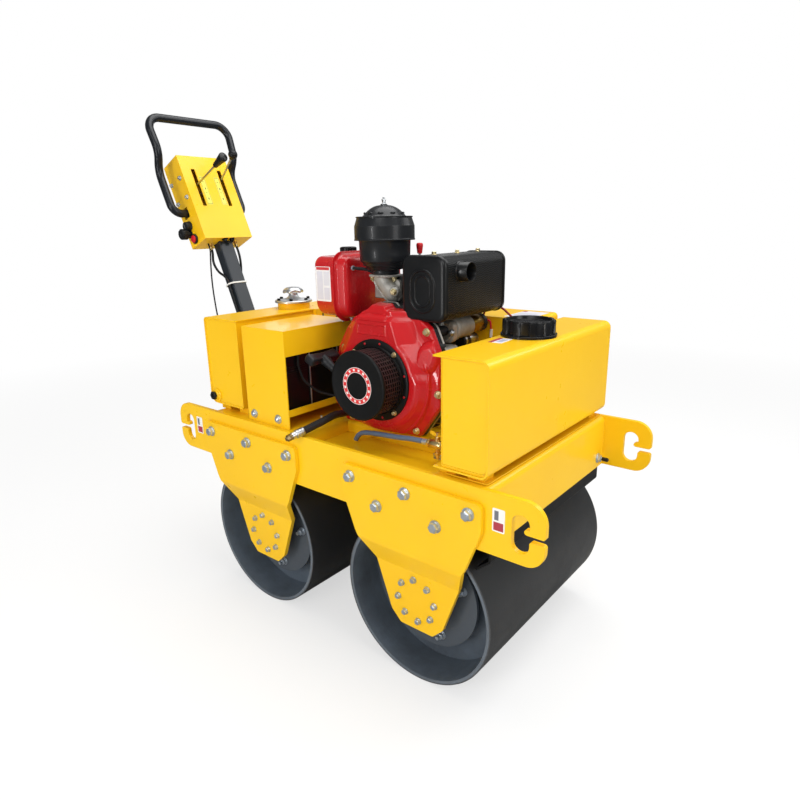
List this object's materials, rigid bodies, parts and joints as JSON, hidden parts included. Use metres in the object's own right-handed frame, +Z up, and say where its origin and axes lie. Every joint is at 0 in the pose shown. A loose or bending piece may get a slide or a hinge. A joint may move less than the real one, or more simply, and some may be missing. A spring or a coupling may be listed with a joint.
{
  "type": "walk-behind double drum roller",
  "caption": "Walk-behind vibratory roller with smooth steel drums, a diesel engine on a welded frame, water and oil tanks, and a folding handle with a control box.",
  "frame": {"origin": "on the ground, midway between the two drum axles and on the machine's middle plane", "axes": "+X forward to the water tank end, +Y to the machine's left, +Z up"},
  "size_m": [1.5587, 0.6922, 1.4549],
  "materials": {
    "yellow_paint": "glossy golden yellow enamel",
    "red_paint": "glossy red enamel",
    "black_paint": "satin black enamel",
    "drum_paint": "satin charcoal enamel",
    "column_paint": "satin blue grey enamel",
    "buffer_rubber": "moulded, matt",
    "cast_alloy": "as cast",
    "black_plastic": "moulded",
    "bright_steel": "plated",
    "filler_chrome": "polished",
    "valve_brass": "machined",
    "tie_nylon": "moulded white nylon",
    "hose_plastic": "flexible, smooth"
  },
  "bodies": {
    "chassis": {"side_plate_right": "yellow_paint", "side_plate_left": "yellow_paint", "rear_deck": "yellow_paint", "front_deck": "yellow_paint", "well_floor": "yellow_paint", "engine_bed": "yellow_paint", "bracket_front_right": "yellow_paint", "bracket_front_left": "yellow_paint", "bracket_rear_right": "yellow_paint", "bracket_rear_left": "yellow_paint", "drum_hubs": "black_paint", "scraper_front": "black_paint", "scraper_rear": "black_paint", "engine_block": "cast_alloy", "fan_shroud": "red_paint", "recoil_starter": "black_paint", "recoil_grip": "black_plastic", "fuel_tank": "red_paint", "fuel_cap": "black_plastic", "air_cleaner": "black_paint", "intake_elbow": "cast_alloy", "muffler": "black_paint", "starter_motor": "bright_steel", "decompression_lever": "bright_steel", "water_tank": "yellow_paint", "water_tank_cap": "black_plastic", "oil_tank": "yellow_paint", "oil_filler": "filler_chrome", "oil_sight_plug": "black_plastic", "battery_box": "yellow_paint", "battery": "black_plastic", "drive_guard": "yellow_paint", "handle_foot": "yellow_paint", "drain_valve": "valve_brass", "drain_hose": "hose_plastic", "oil_drain_hose": "buffer_rubber", "oil_hose_fitting": "bright_steel"},
    "front_drum": {"drum_front_shell": "drum_paint", "drum_front_discs": "drum_paint", "drum_front_buffers": "buffer_rubber"},
    "rear_drum": {"drum_rear_shell": "drum_paint", "drum_rear_discs": "drum_paint", "drum_rear_buffers": "buffer_rubber"},
    "handle": {"handle_column": "column_paint", "control_box": "yellow_paint", "handlebar": "black_paint", "travel_levers": "black_plastic", "panel_switches": "black_plastic", "control_cables": "black_plastic", "cable_tie": "tie_nylon"}
  },
  "joints": [
    {"name": "front_drum_roll", "type": "hinge", "parent": "chassis", "child": "front_drum", "pos_m": [0.2835, 0, 0.2125], "axis": [0, 1, 0], "continuous": true},
    {"name": "rear_drum_roll", "type": "hinge", "parent": "chassis", "child": "rear_drum", "pos_m": [-0.2835, 0, 0.2125], "axis": [0, 1, 0], "continuous": true},
    {"name": "handle_fold", "type": "hinge", "parent": "chassis", "child": "handle", "pos_m": [-0.555, 0, 0.506], "axis": [0, 1, 0], "range_deg": [-8, 20]}
  ]
}
